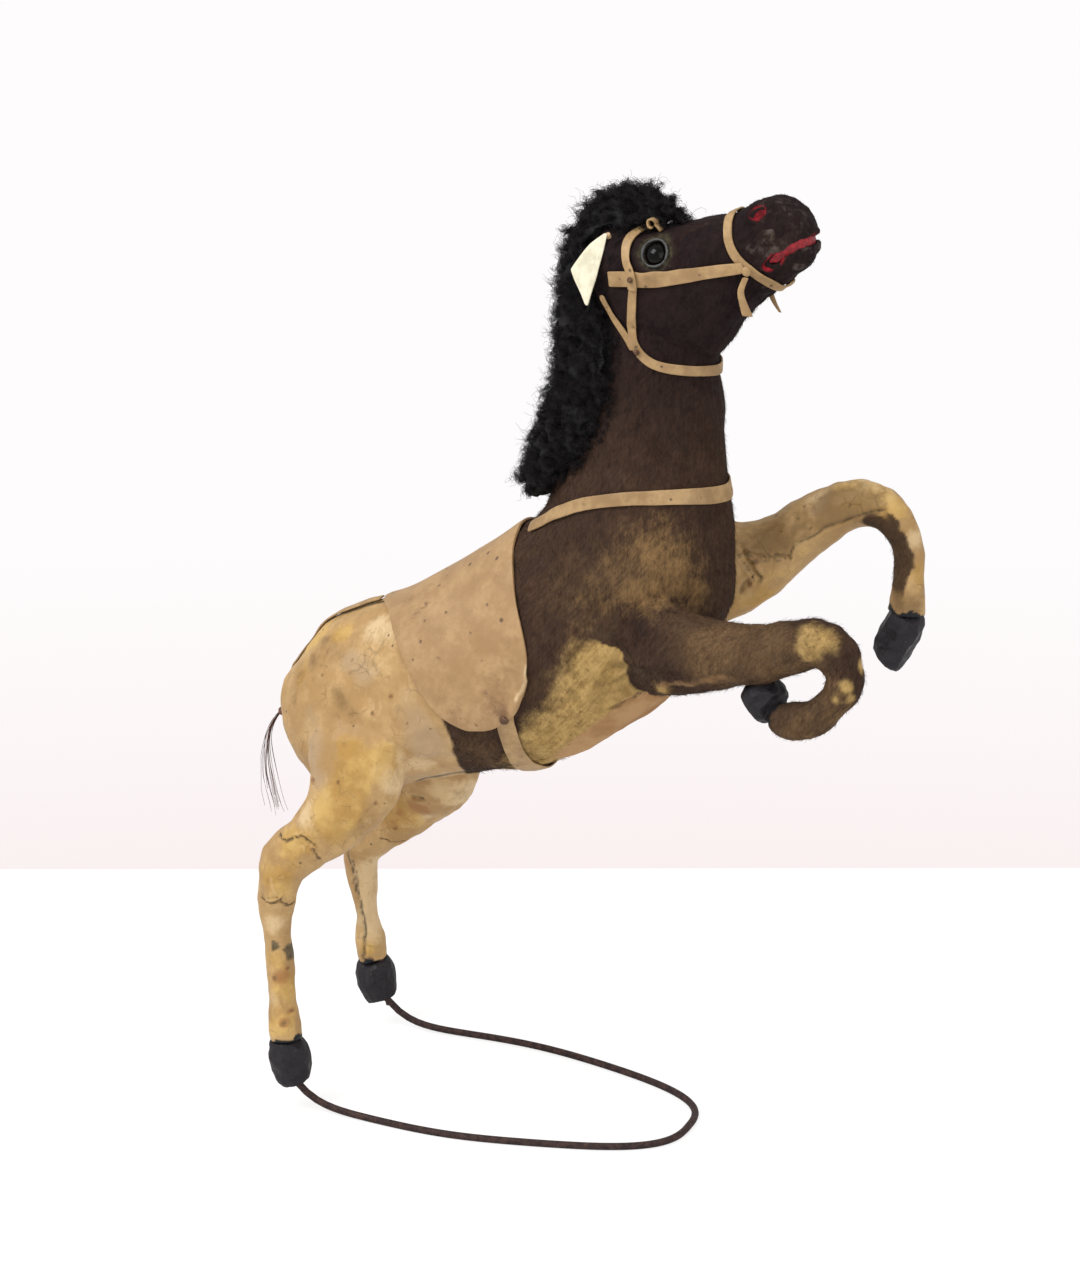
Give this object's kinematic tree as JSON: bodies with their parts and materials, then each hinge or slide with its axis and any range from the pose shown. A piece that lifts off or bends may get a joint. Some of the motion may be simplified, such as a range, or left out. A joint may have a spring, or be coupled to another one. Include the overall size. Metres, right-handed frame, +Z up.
{
  "type": "toy horse",
  "caption": "Rearing hide-covered toy horse with a wool mane, glass eyes and leather tack, its hind hooves standing on one springy loop of wire.",
  "frame": {"origin": "on the floor, under the middle of the whole horse", "axes": "+X forwards, +Y the horse's left, +Z up"},
  "size_m": [0.2462, 0.092, 0.3497],
  "materials": {
    "wire": "dark rusted steel wire",
    "wood": "bare softwood",
    "dark_hide": "short dark brown hair on hide, worn",
    "pale_hide": "bald cream hide, cracked and stained",
    "leather": "thin tan leather",
    "ear_leather": "thin pale leather",
    "hoof_paint": "thick black paint",
    "wool": "curly black wool",
    "tail_hair": "brown horsehair",
    "glass": "dark glass",
    "mouth_red": "red paint",
    "brown_metal": "tarnished tack heads"
  },
  "bodies": {
    "stand": {"stand_wire": "wire"},
    "horse": {"leg_wire_right": "wire", "leg_wire_left": "wire", "hoof_hind_right": "hoof_paint", "hoof_hind_left": "hoof_paint", "hoof_fore_right": "hoof_paint", "hoof_fore_left": "hoof_paint", "cannon_right": "pale_hide", "cannon_left": "pale_hide", "hock_right": "pale_hide", "hock_left": "pale_hide", "thigh_right": "pale_hide", "thigh_left": "pale_hide", "forearm_right": "dark_hide", "forearm_left": "pale_hide", "shin_right": "dark_hide", "shin_left": "dark_hide", "body_hide": "dark_hide", "body_core": "wood", "neck_core": "wood", "hip_dowel": "wood", "shoulder_dowel": "wood", "neck_dowel": "wood", "head": "dark_hide", "mouth_lining": "mouth_red", "eye_right": "glass", "eye_left": "glass", "eye_ring_right": "dark_hide", "eye_ring_left": "dark_hide", "ear_peg_right": "wood", "ear_peg_left": "wood", "mane": "wool", "cheek_strap_right": "leather", "cheek_strap_left": "leather", "poll_strap_right": "leather", "poll_strap_left": "leather", "noseband": "leather", "browband": "leather", "throat_lash": "leather", "breast_strap": "leather", "crupper_strap": "leather", "girth_strap": "leather", "saddle": "leather", "cheek_tack_right": "brown_metal", "cheek_tack_left": "brown_metal", "throat_tack_right": "brown_metal", "throat_tack_left": "brown_metal", "girth_stud_right": "brown_metal", "girth_stud_left": "brown_metal", "bit_knot_right": "leather", "bit_knot_left": "leather", "tail_plug": "wood"},
    "tail_binding": {"tail_binding": "tail_hair"},
    "tail_hair": {"tail_hair": "tail_hair"},
    "ear_right": {"ear_right": "ear_leather"},
    "ear_left": {"ear_left": "ear_leather"},
    "rein_stub_right": {"rein_stub_right": "leather"},
    "rein_stub_left": {"rein_stub_left": "leather"}
  },
  "joints": [
    {"name": "stand_sway", "type": "hinge", "parent": "stand", "child": "horse", "pos_m": [-0.0906, 0, 0.0094], "axis": [0, 1, 0], "range_deg": [-3, 3], "stiffness_Nm_per_rad": 8, "springref_deg": -3.73},
    {"name": "tail_sway", "type": "hinge", "parent": "horse", "child": "tail_binding", "pos_m": [-0.11365, 0, 0.14143], "axis": [1, 0, 0], "range_deg": [-30, 30]},
    {"name": "tail_lift", "type": "hinge", "parent": "tail_binding", "child": "tail_hair", "pos_m": [-0.11365, 0, 0.14143], "axis": [0, 1, 0], "range_deg": [0, 45]},
    {"name": "ear_right_swing", "type": "hinge", "parent": "horse", "child": "ear_right", "pos_m": [0.0215, -0.0138, 0.3331], "axis": [-1, 0, 0], "range_deg": [0, 40]},
    {"name": "ear_left_swing", "type": "hinge", "parent": "horse", "child": "ear_left", "pos_m": [0.0215, 0.0138, 0.3331], "axis": [1, 0, 0], "range_deg": [0, 40]},
    {"name": "rein_stub_right_swing", "type": "hinge", "parent": "horse", "child": "rein_stub_right", "pos_m": [0.0709, -0.0137, 0.3219], "axis": [-1, 0, 0], "range_deg": [0, 40]},
    {"name": "rein_stub_left_swing", "type": "hinge", "parent": "horse", "child": "rein_stub_left", "pos_m": [0.0709, 0.0137, 0.3219], "axis": [1, 0, 0], "range_deg": [0, 40]}
  ]
}
